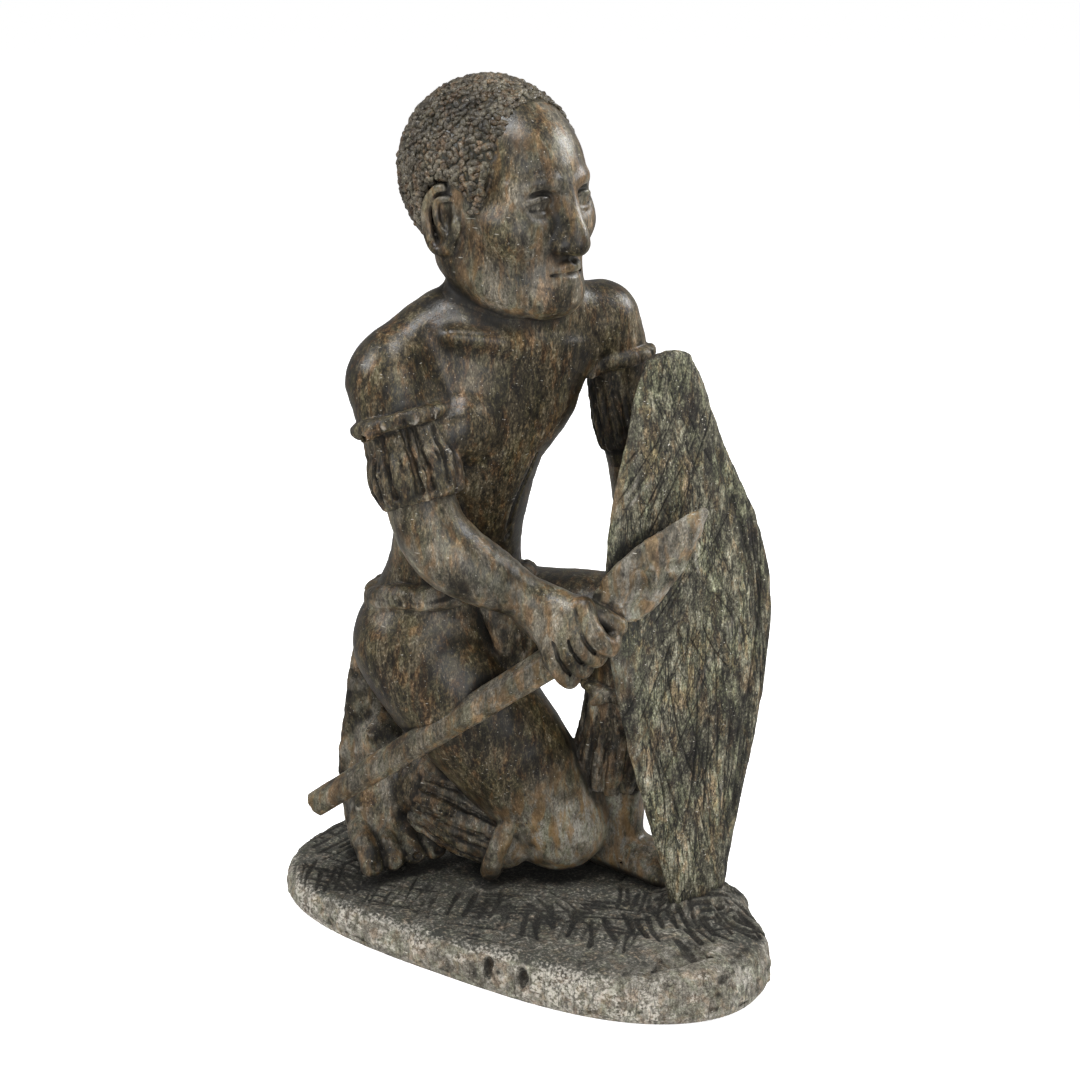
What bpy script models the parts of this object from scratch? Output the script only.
"""A kneeling man with a shield and a short spear, carved with its base from one block of soapstone.

The man kneels on his right knee with the left knee raised. His right hand holds the spear, whose
blade lies on the face of the shield, and his left hand holds the shield from behind. The underside
is flat at z = 0, the base runs along Y, and the man looks towards -Y.
"""

import math

import bmesh
import bpy
from mathutils import Matrix, Vector

# Driving dimensions, in metres
FIGURE_HEIGHT = 0.428
BASE_LENGTH = 0.289
BASE_WIDTH = 0.141
BASE_THICKNESS = 0.022
BASE_FRONT_RISE = 0.005
BASE_SHIFT = (0.000, 0.009)
SHIELD_WIDTH = 0.098
SHIELD_THICKNESS = 0.014
SHAFT_RADIUS = 0.0067
BLADE_WIDTH = 0.032
BLADE_THICKNESS = 0.012
BELT_RADIUS = 0.0066
BAND_CORD_RADIUS = 0.0042
FLUTE_RADIUS = 0.0033

# Surface of the finished solid
GRAIN = 0.0016
SMOOTHING_STEPS = 3
TRIANGLES = 9700

# The pose is written in millimetres of a figure 428 mm tall that stands on ground at z = 22
DRAWN_HEIGHT = 428.0
DRAWN_GROUND = 22.0
UNIT = FIGURE_HEIGHT / DRAWN_HEIGHT
TORSO_YAW = math.radians(-28)
HEAD_YAW = math.radians(-8)
SKULL_TILT = math.radians(-14)
BELT_TILT = 0.22

# How finely the forms are drawn
LIMB_SIDES = 20
CORD_SIDES = 10
LOOP_POINTS = 28
BELT_POINTS = 40
BASE_POINTS = 72
CAP_ANGLES = (0.5, 1.0, 1.45)

# The outline of the base: how square its corners are and how far its edge wanders
CORNER_POWER = 0.84
EDGE_WAVES = ((3, 0.6, 0.016), (5, 2.0, 0.010))


def place(x, y, z):
    """A point of the drawn pose, in metres above the underside."""
    return Vector((x, y, z - DRAWN_GROUND)) * UNIT + Vector((0, 0, BASE_THICKNESS))


def blended(stations, steps):
    """Stations of (point, half width, half depth) filled in along a smooth curve through them."""
    rows = [(*point, width, depth) for point, width, depth in stations]
    rows = [rows[0], *rows, rows[-1]]
    filled = []
    for k in range(1, len(rows) - 2):
        for step in range(steps):
            t = step / steps
            row = [
                0.5 * (2 * b + (c - a) * t + (2 * a - 5 * b + 4 * c - d) * t * t
                       + (3 * b - a - 3 * c + d) * t ** 3)
                for a, b, c, d in zip(*rows[k - 1:k + 3])
            ]
            filled.append((Vector(row[:3]), row[3], row[4]))
    filled.append(stations[-1])
    return filled


def skin(mesh, rings, closed=False):
    """Faces between rings of vertices, with a pole at each end unless the rings close on each other."""
    loops = [[mesh.verts.new(point) for point in ring] for ring in rings]
    count = len(loops[0])
    pairs = list(zip(loops, loops[1:]))
    if closed:
        pairs.append((loops[-1], loops[0]))
    faces = []
    for low, high in pairs:
        for k in range(count):
            after = (k + 1) % count
            faces.append(mesh.faces.new((low[k], low[after], high[after], high[k])))
    if not closed:
        faces.append(mesh.faces.new(loops[0][::-1]))
        faces.append(mesh.faces.new(loops[-1]))
    bmesh.ops.recalc_face_normals(mesh, faces=faces)


def limb(mesh, stations, across=(1, 0, 0), steps=3, round_ends=True):
    """A tapering form with an oval section, its half widths measured along across."""
    rows = blended([(Vector(p), w, d) for p, w, d in stations], steps)
    rings = []
    for k, (point, width, depth) in enumerate(rows):
        before = rows[max(k - 1, 0)][0]
        after = rows[min(k + 1, len(rows) - 1)][0]
        along = (after - before).normalized()
        side = (Vector(across) - along * along.dot(Vector(across))).normalized()
        deep = along.cross(side)
        section = [(point, width, depth)]
        if round_ends and k in (0, len(rows) - 1):
            outward = -1 if k == 0 else 1
            bulge = min(width, depth)
            caps = [(point + along * outward * bulge * math.sin(a), width * math.cos(a), depth * math.cos(a))
                    for a in CAP_ANGLES]
            section = caps[::-1] + section if k == 0 else section + caps
        for centre, w, d in section:
            rings.append([
                centre + side * w * math.cos(a) + deep * d * math.sin(a)
                for a in (2 * math.pi * n / LIMB_SIDES for n in range(LIMB_SIDES))
            ])
    skin(mesh, rings)


def rod(mesh, start, end, start_radius, end_radius):
    """A round straight form with rounded ends."""
    across = (end - start).orthogonal()
    limb(mesh, [(start, start_radius, start_radius), (end, end_radius, end_radius)], across, steps=2)


def ball(mesh, centre, halves, turn=None):
    """An ellipsoid with three half sizes, turned about its centre."""
    spin = (turn or Matrix.Identity(3)).to_4x4()
    matrix = Matrix.Translation(centre) @ spin @ Matrix.Diagonal((*halves, 1))
    bmesh.ops.create_uvsphere(mesh, u_segments=24, v_segments=16, radius=1, matrix=matrix)


def hoop(mesh, points, radius, radius_across=None):
    """A cord laid in a closed loop through the points."""
    count = len(points)
    middle = sum(points, Vector()) / count
    rings = []
    for k in range(count):
        along = (points[(k + 1) % count] - points[k - 1]).normalized()
        out = (points[k] - middle)
        out = (out - along * out.dot(along)).normalized()
        over = along.cross(out)
        rings.append([
            points[k] + out * radius * math.cos(a) + over * (radius_across or radius) * math.sin(a)
            for a in (2 * math.pi * n / CORD_SIDES for n in range(CORD_SIDES))
        ])
    skin(mesh, rings, closed=True)


def frame_about(direction, across=(1, 0, 0)):
    """Three unit axes: across, deep and along the direction."""
    along = direction.normalized()
    side = (Vector(across) - along * along.dot(Vector(across))).normalized()
    return side, along.cross(side), along


def around(centre, side, deep, width, depth, angle):
    """A point on an oval round the centre."""
    return centre + side * width * math.cos(angle) + deep * depth * math.sin(angle)


def fringed_band(mesh, start, end, radius, flare, flutes, cord=True, first=0.0):
    """A rolled cord round a limb with a fringe of round flutes hanging from it to the end."""
    side, deep, along = frame_about(end - start)
    low = radius + flare
    limb(mesh, [(start, radius, radius), (end, low, low)], side, round_ends=False)
    for k in range(flutes):
        angle = first + 2 * math.pi * k / flutes
        top = around(start, side, deep, radius, radius, angle)
        bottom = around(end, side, deep, low, low, angle)
        rod(mesh, top, bottom, FLUTE_RADIUS, FLUTE_RADIUS * 1.15)
    if cord:
        middle = start - along * BAND_CORD_RADIUS * 0.4
        outer = radius + BAND_CORD_RADIUS * 0.6
        turns = [2 * math.pi * k / LOOP_POINTS for k in range(LOOP_POINTS)]
        hoop(mesh, [around(middle, side, deep, outer, outer, turn) for turn in turns], BAND_CORD_RADIUS)


def add_torso(mesh):
    """Seat, belly, chest and shoulders, with the breast muscles and the groove of the back."""
    across = (math.cos(TORSO_YAW), math.sin(TORSO_YAW), 0)
    sections = (
        (6, 60, 132, 30, 28), (5, 58, 150, 42, 34), (4, 55, 168, 43, 34), (3, 50, 190, 38, 31),
        (1, 45, 215, 35, 28), (-3, 39, 242, 36, 30), (-6, 33, 266, 40, 31), (-7, 28, 284, 45, 31),
        (0, 20, 304, 50, 28), (4, 14, 322, 42, 25), (4, 15, 338, 24, 21),
    )
    limb(mesh, [(place(x, y, z), w * UNIT, d * UNIT) for x, y, z, w, d in sections], across)
    turn = Matrix.Rotation(TORSO_YAW, 3, "Z")
    left = turn @ Vector((1, 0, 0))
    forward = turn @ Vector((0, -1, 0))
    chest = place(-6, 29, 286)
    for hand in (-1, 1):
        breast = chest + (left * (20 * hand - 3) + forward * 20) * UNIT
        ball(mesh, breast, Vector((19, 12, 16)) * UNIT, turn)
        ball(mesh, chest + (left * 22 * hand - forward * 20) * UNIT, Vector((22, 12, 26)) * UNIT, turn)
    neck = place(2, 18, 340)
    slopes = ((place(-24, 34, 334), place(-48, 44, 320)), (place(30, 2, 334), place(52, -8, 330)))
    for slope, shoulder in slopes:
        limb(mesh, [(neck, 18 * UNIT, 16 * UNIT), (slope, 17 * UNIT, 16 * UNIT),
                    (shoulder, 16 * UNIT, 15 * UNIT)], forward)
    limb(mesh, [(place(12, 14, 308), 20 * UNIT, 20 * UNIT), (place(48, -4, 320), 18 * UNIT, 18 * UNIT)],
         forward)


def add_head(mesh):
    """Skull, face, ears and the close cap of hair."""
    turn = Matrix.Rotation(HEAD_YAW, 3, "Z")
    left = turn @ Vector((1, 0, 0))
    forward = turn @ Vector((0, -1, 0))
    middle = place(2, 14, 391)

    def at(sideways, ahead, up):
        return middle + (left * sideways + forward * ahead + Vector((0, 0, up))) * UNIT

    def size(*halves):
        return Vector(halves) * UNIT

    limb(mesh, [(place(3, 18, 322), 28 * UNIT, 26 * UNIT), (place(2, 20, 345), 24 * UNIT, 24 * UNIT),
                (place(1, 20, 370), 26 * UNIT, 26 * UNIT)], left)
    ball(mesh, at(0, -4, 11), size(37, 44, 42), turn)
    ball(mesh, at(0, 5, -6), size(34, 34, 43), turn)
    ball(mesh, at(0, 22, -30), size(21, 20, 17), turn)
    ball(mesh, at(0, 31, -43), size(12, 10, 9), turn)
    for hand in (-1, 1):
        ball(mesh, at(20 * hand, 25, -9), size(12, 11, 9), turn)
        ball(mesh, at(15 * hand, 31.5, 2), size(8.5, 6, 5.5), turn)
        rim = [at(37 * hand + 3 * hand * math.cos(a), -6 + 9 * math.cos(a), -6 + 15 * math.sin(a))
               for a in (2 * math.pi * k / 20 for k in range(20))]
        ball(mesh, at(36 * hand, -6, -6), size(3, 8, 14), turn)
        hoop(mesh, rim, 2.8 * UNIT)
        ball(mesh, at(6.5 * hand, 40, -19), size(4.5, 5, 4), turn)
    brow = ((-27, 20, 11), (-14, 33, 14), (0, 35, 12), (14, 33, 14), (27, 20, 11))
    limb(mesh, [(at(*point), 5 * UNIT, 5 * UNIT) for point in brow], (0, 0, 1))
    limb(mesh, [(at(0, 35, 8), 4 * UNIT, 4 * UNIT), (at(0, 44, -15), 6 * UNIT, 6 * UNIT)], left)
    ball(mesh, at(0, 45, -17), size(6, 6, 5), turn)
    ball(mesh, at(0, 37.5, -28), size(12.5, 6, 3), turn)
    ball(mesh, at(0, 37, -33.5), size(11, 6, 3.4), turn)
    ball(mesh, at(0, -11, 13), size(41, 46, 44.5), Matrix.Rotation(SKULL_TILT, 3, left) @ turn)


def add_right_arm(mesh):
    """The arm that holds the spear, with its fringed band and the closed hand."""
    arm = (
        (-52, 46, 308, 22), (-56, 39, 290, 19.5), (-57, 29, 262, 17), (-57, 20, 238, 17.5),
        (-51, 10, 224, 18), (-42, -3, 214, 15.5), (-32, -15, 204, 12), (-25, -25, 195, 12.5),
    )
    limb(mesh, [(place(x, y, z), r * UNIT, r * UNIT) for x, y, z, r in arm], (1, 0, 0))
    fringed_band(mesh, place(-56, 37, 289), place(-57, 26, 257), 18.5 * UNIT, 2.0 * UNIT, 15)
    row = (2.7, -5.7, 4.5)
    palm = ((-27, -22, 197, 13, 10), (-26, -35, 191, 16, 11), (-24, -42, 182, 15, 11))
    limb(mesh, [(place(x, y, z), w * UNIT, d * UNIT) for x, y, z, w, d in palm], row)
    for k in range(4):
        knuckle = place(-32 + 2.7 * k, -29 - 5.7 * k, 187 + 4.5 * k)
        middle = place(-33 + 2.7 * k, -36 - 5.8 * k, 173 + 5.0 * k)
        tip = place(-22 + 2.7 * k, -40 - 5.9 * k, 159 + 6.2 * k)
        limb(mesh, [(knuckle, 5.0 * UNIT, 5.0 * UNIT), (middle, 5.2 * UNIT, 5.2 * UNIT),
                    (tip, 4.6 * UNIT, 4.6 * UNIT)], row)


def add_left_arm(mesh):
    """The arm behind the shield, with its fringed band and the hand on the shield's back."""
    arm = (
        (56, -9, 325, 19), (60, -15, 304, 16.5), (61, -25, 252, 13.5), (61, -31, 226, 13.5),
        (55, -46, 212, 12), (48, -60, 206, 11),
    )
    limb(mesh, [(place(x, y, z), r * UNIT, r * UNIT) for x, y, z, r in arm], (1, 0, 0))
    fringed_band(mesh, place(60, -14, 304), place(61, -22, 268), 15.5 * UNIT, 1.5 * UNIT, 13)
    for k in range(4):
        rod(mesh, place(50 - 1.5 * k, -60, 212 - 6.5 * k), place(36 - 1.5 * k, -66, 211 - 6.5 * k),
            4.2 * UNIT, 3.8 * UNIT)


def add_legs(mesh):
    """The kneeling right leg, with its calf band and its foot on its toes, and the raised left leg."""
    thigh = ((-14, 62, 158, 34, 34), (-8, 46, 137, 35, 37), (9, 23, 98, 31, 36), (25, 5, 62, 28, 30),
             (29, 0, 51, 27, 28))
    limb(mesh, [(place(x, y, z), w * UNIT, d * UNIT) for x, y, z, w, d in thigh], (1, 0, 0))
    calf = ((30, 4, 48, 21), (18, 30, 50, 22), (6, 60, 58, 18), (0, 84, 66, 15))
    limb(mesh, [(place(x, y, z), r * UNIT, r * UNIT) for x, y, z, r in calf], (1, 0, 0))
    fringed_band(mesh, place(13, 26, 46), place(1, 62, 60), 22 * UNIT, -1.5 * UNIT, 15, cord=False)
    side, deep, _ = frame_about(place(13, 26, 46) - place(1, 62, 60))
    turns = [2 * math.pi * k / LOOP_POINTS for k in range(LOOP_POINTS)]
    loop = [around(place(14, 23, 45), side, deep, 24 * UNIT, 24 * UNIT, turn) for turn in turns]
    hoop(mesh, loop, BAND_CORD_RADIUS * 1.3)
    heel = ((-4, 94, 94, 17, 16), (-4, 96, 76, 18, 17), (-6, 92, 52, 22, 16), (-7, 86, 36, 24, 13))
    foot_across = (0.86, -0.51, 0)
    limb(mesh, [(place(x, y, z), w * UNIT, d * UNIT) for x, y, z, w, d in heel], foot_across)
    for k in range(5):
        share = k / 4
        root = place(-26 + 38 * share, 94 - 20 * share, 40)
        tip = place(-33 + 42 * share, 79 - 21 * share, 27)
        rod(mesh, root, tip, (7.6 - 2.0 * share) * UNIT, (6.4 - 1.6 * share) * UNIT)
    raised = ((24, 42, 166, 29, 27), (32, 14, 168, 27, 25), (42, -20, 171, 24, 23), (46, -38, 166, 22, 22))
    limb(mesh, [(place(x, y, z), w * UNIT, d * UNIT) for x, y, z, w, d in raised], (1, 0, 0))
    shin = ((45, -38, 164, 22), (44, -30, 130, 19), (46, -26, 96, 17), (50, -28, 60, 12), (51, -27, 36, 12))
    limb(mesh, [(place(x, y, z), r * UNIT, r * UNIT) for x, y, z, r in shin], (1, 0, 0))
    fringed_band(mesh, place(44, -31, 134), place(45, -24, 86), 19 * UNIT, 2.5 * UNIT, 13)
    foot = ((50, -16, 32, 12, 12), (50, -36, 32, 14, 12), (50, -56, 28, 16, 9))
    limb(mesh, [(place(x, y, z), w * UNIT, d * UNIT) for x, y, z, w, d in foot], (1, 0, 0))
    for k in range(5):
        root = place(39 + 5.6 * k, -56 + 1.5 * k, 28)
        rod(mesh, root, root + Vector((0, -13 + 1.5 * k, -2)) * UNIT, 4.6 * UNIT, 4.0 * UNIT)


def add_dress(mesh):
    """The rolled belt, the cloth that hangs behind over the heel and the short front flap."""
    facing = Matrix.Rotation(TORSO_YAW, 3, "Z")
    left = facing @ Vector((1, 0, 0))
    deep = (facing @ Vector((0, 1, 0)) + Vector((0, 0, -BELT_TILT))).normalized()
    turns = [2 * math.pi * k / BELT_POINTS for k in range(BELT_POINTS)]
    belt = [around(place(4, 52, 188), left, deep, 42 * UNIT, 35 * UNIT, turn) for turn in turns]
    hoop(mesh, belt, BELT_RADIUS * 0.8, BELT_RADIUS * 1.25)
    apron = ((12, 76, 180, 30, 9), (10, 83, 158, 32, 10), (8, 90, 130, 31, 11), (6, 96, 100, 29, 11),
             (4, 101, 72, 27, 11), (2, 102, 44, 22, 9), (2, 101, 26, 20, 9))
    limb(mesh, [(place(x, y, z), w * UNIT, d * UNIT) for x, y, z, w, d in apron], left)
    flap = ((-2, 16, 186, 13, 6), (0, 10, 166, 12, 6), (4, 10, 146, 8, 6))
    limb(mesh, [(place(x, y, z), w * UNIT, d * UNIT) for x, y, z, w, d in flap], left)


def add_spear(mesh):
    """The shaft across the thigh and through the hand, and the short broad blade on the shield."""
    butt = place(-52, 101, 69)
    grip = place(-15, -30, 170)
    root = place(-4, -46, 190)
    tip = place(20, -87, 246)
    limb(mesh, [(butt, SHAFT_RADIUS, SHAFT_RADIUS), (grip, SHAFT_RADIUS * 1.2, SHAFT_RADIUS * 1.2),
                (root, SHAFT_RADIUS, SHAFT_RADIUS)], (1, 0, 0))
    along = (tip - root).normalized()
    flat = Vector((0.5, 0.87, 0)).cross(along)
    half = BLADE_WIDTH / 2
    thick = BLADE_THICKNESS / 2
    reach = (tip - root).length
    shares = ((0.06, 0.72), (0.25, 1.0), (0.55, 0.98), (0.82, 0.62), (1.0, 0.14))
    limb(mesh, [(root + along * reach * s, half * w, thick * max(w, 0.5)) for s, w in shares], flat)


def add_shield(mesh):
    """A long leaf-shaped shield with a blunt ridge, standing on its pointed foot in a small mound."""
    foot = place(32, -84, 20)
    top = place(36, -63, 318)
    across = Vector((0.87, -0.5, 0))
    half = SHIELD_WIDTH / 2
    thick = SHIELD_THICKNESS / 2
    outline = (
        (0.0, 0.30, 1.25, 0.0), (0.08, 0.40, 1.2, 0.02), (0.18, 0.56, 1.05, 0.03), (0.31, 0.77, 1.0, 0.05),
        (0.44, 0.93, 1.0, 0.06), (0.55, 1.0, 1.0, 0.06), (0.65, 0.95, 1.0, 0.01), (0.75, 0.79, 1.0, -0.06),
        (0.86, 0.55, 0.95, -0.09), (0.94, 0.40, 0.85, -0.10), (0.99, 0.26, 0.7, -0.10),
    )
    limb(mesh, [(foot.lerp(top, s) + across * half * shift, half * w, thick * t)
                for s, w, t, shift in outline], across)
    ball(mesh, place(34, -88, 20), Vector((26, 24, 14)) * UNIT)


def add_base(mesh):
    """The low rounded base, a little higher under the shield, with its uneven hand-cut edge."""
    rows = []
    for share, inset in ((-0.3, 0.004), (0.2, 0.0), (0.6, 0.001), (0.88, 0.004), (1.0, 0.010)):
        ring = []
        for k in range(BASE_POINTS):
            angle = 2 * math.pi * k / BASE_POINTS
            wobble = 1 + sum(size * math.sin(count * angle + shift) for count, shift, size in EDGE_WAVES)
            x = math.copysign(abs(math.cos(angle)) ** CORNER_POWER, math.cos(angle))
            y = math.copysign(abs(math.sin(angle)) ** CORNER_POWER, math.sin(angle))
            x = x * (BASE_WIDTH / 2 * wobble - inset) + BASE_SHIFT[0]
            y = y * (BASE_LENGTH / 2 * wobble - inset) + BASE_SHIFT[1]
            rise = BASE_FRONT_RISE * (-y / (BASE_LENGTH / 2))
            ring.append(Vector((x, y, share * (BASE_THICKNESS + rise))))
        rows.append(ring)
    skin(mesh, rows)


def stone_material():
    """Polished and chiselled green-brown soapstone."""
    material = bpy.data.materials.new("soapstone")
    material.use_nodes = True
    shader = material.node_tree.nodes["Principled BSDF"]
    shader.inputs["Base Color"].default_value = (0.105, 0.088, 0.062, 1)
    shader.inputs["Roughness"].default_value = 0.45
    shader.inputs["Metallic"].default_value = 0.0
    return material


def fused(name, mesh):
    """One closed skin over all the forms, with the creases between them softened."""
    data = bpy.data.meshes.new(name)
    mesh.to_mesh(data)
    mesh.free()
    block = bpy.data.objects.new(name, data)
    bpy.context.scene.collection.objects.link(block)
    remesh = block.modifiers.new("one skin", "REMESH")
    remesh.mode = "VOXEL"
    remesh.voxel_size = GRAIN
    soften = block.modifiers.new("soften", "SMOOTH")
    soften.factor = 0.5
    soften.iterations = SMOOTHING_STEPS
    return block


def evaluated_mesh(block):
    """The block's mesh with its modifiers applied."""
    graph = bpy.context.evaluated_depsgraph_get()
    return bpy.data.meshes.new_from_object(block.evaluated_get(graph))


def simplified(block, triangles):
    """The block with its modifiers applied and its faces thinned to the number of triangles."""
    block.data = evaluated_mesh(block)
    block.modifiers.clear()
    block.data.calc_loop_triangles()
    thin = block.modifiers.new("thin", "DECIMATE")
    thin.ratio = triangles / len(block.data.loop_triangles)
    thin.use_collapse_triangulate = True
    block.data = evaluated_mesh(block)
    block.modifiers.clear()


def cut_underside(block):
    """A flat underside at z = 0."""
    mesh = bmesh.new()
    mesh.from_mesh(block.data)
    everything = mesh.verts[:] + mesh.edges[:] + mesh.faces[:]
    bmesh.ops.bisect_plane(mesh, geom=everything, plane_co=(0, 0, 0), plane_no=(0, 0, 1), clear_inner=True)
    rim = [edge for edge in mesh.edges if edge.is_boundary]
    bmesh.ops.contextual_create(mesh, geom=rim)
    bmesh.ops.triangulate(mesh, faces=mesh.faces[:])
    bmesh.ops.recalc_face_normals(mesh, faces=mesh.faces[:])
    mesh.to_mesh(block.data)
    mesh.free()


def centre_over_origin(block):
    """The middle of the footprint is moved to the origin."""
    points = [vertex.co for vertex in block.data.vertices]
    middle_x = (min(p.x for p in points) + max(p.x for p in points)) / 2
    middle_y = (min(p.y for p in points) + max(p.y for p in points)) / 2
    block.data.transform(Matrix.Translation((-middle_x, -middle_y, 0)))


def main():
    for old in list(bpy.data.objects):
        bpy.data.objects.remove(old, do_unlink=True)
    mesh = bmesh.new()
    add_torso(mesh)
    add_head(mesh)
    add_right_arm(mesh)
    add_left_arm(mesh)
    add_legs(mesh)
    add_dress(mesh)
    add_spear(mesh)
    add_shield(mesh)
    add_base(mesh)
    block = fused("kneeling_man_with_shield", mesh)
    simplified(block, TRIANGLES)
    cut_underside(block)
    centre_over_origin(block)
    block.data.materials.clear()
    block.data.materials.append(stone_material())
    block.data.shade_smooth()
    block.data.set_sharp_from_angle(angle=math.radians(60))


main()
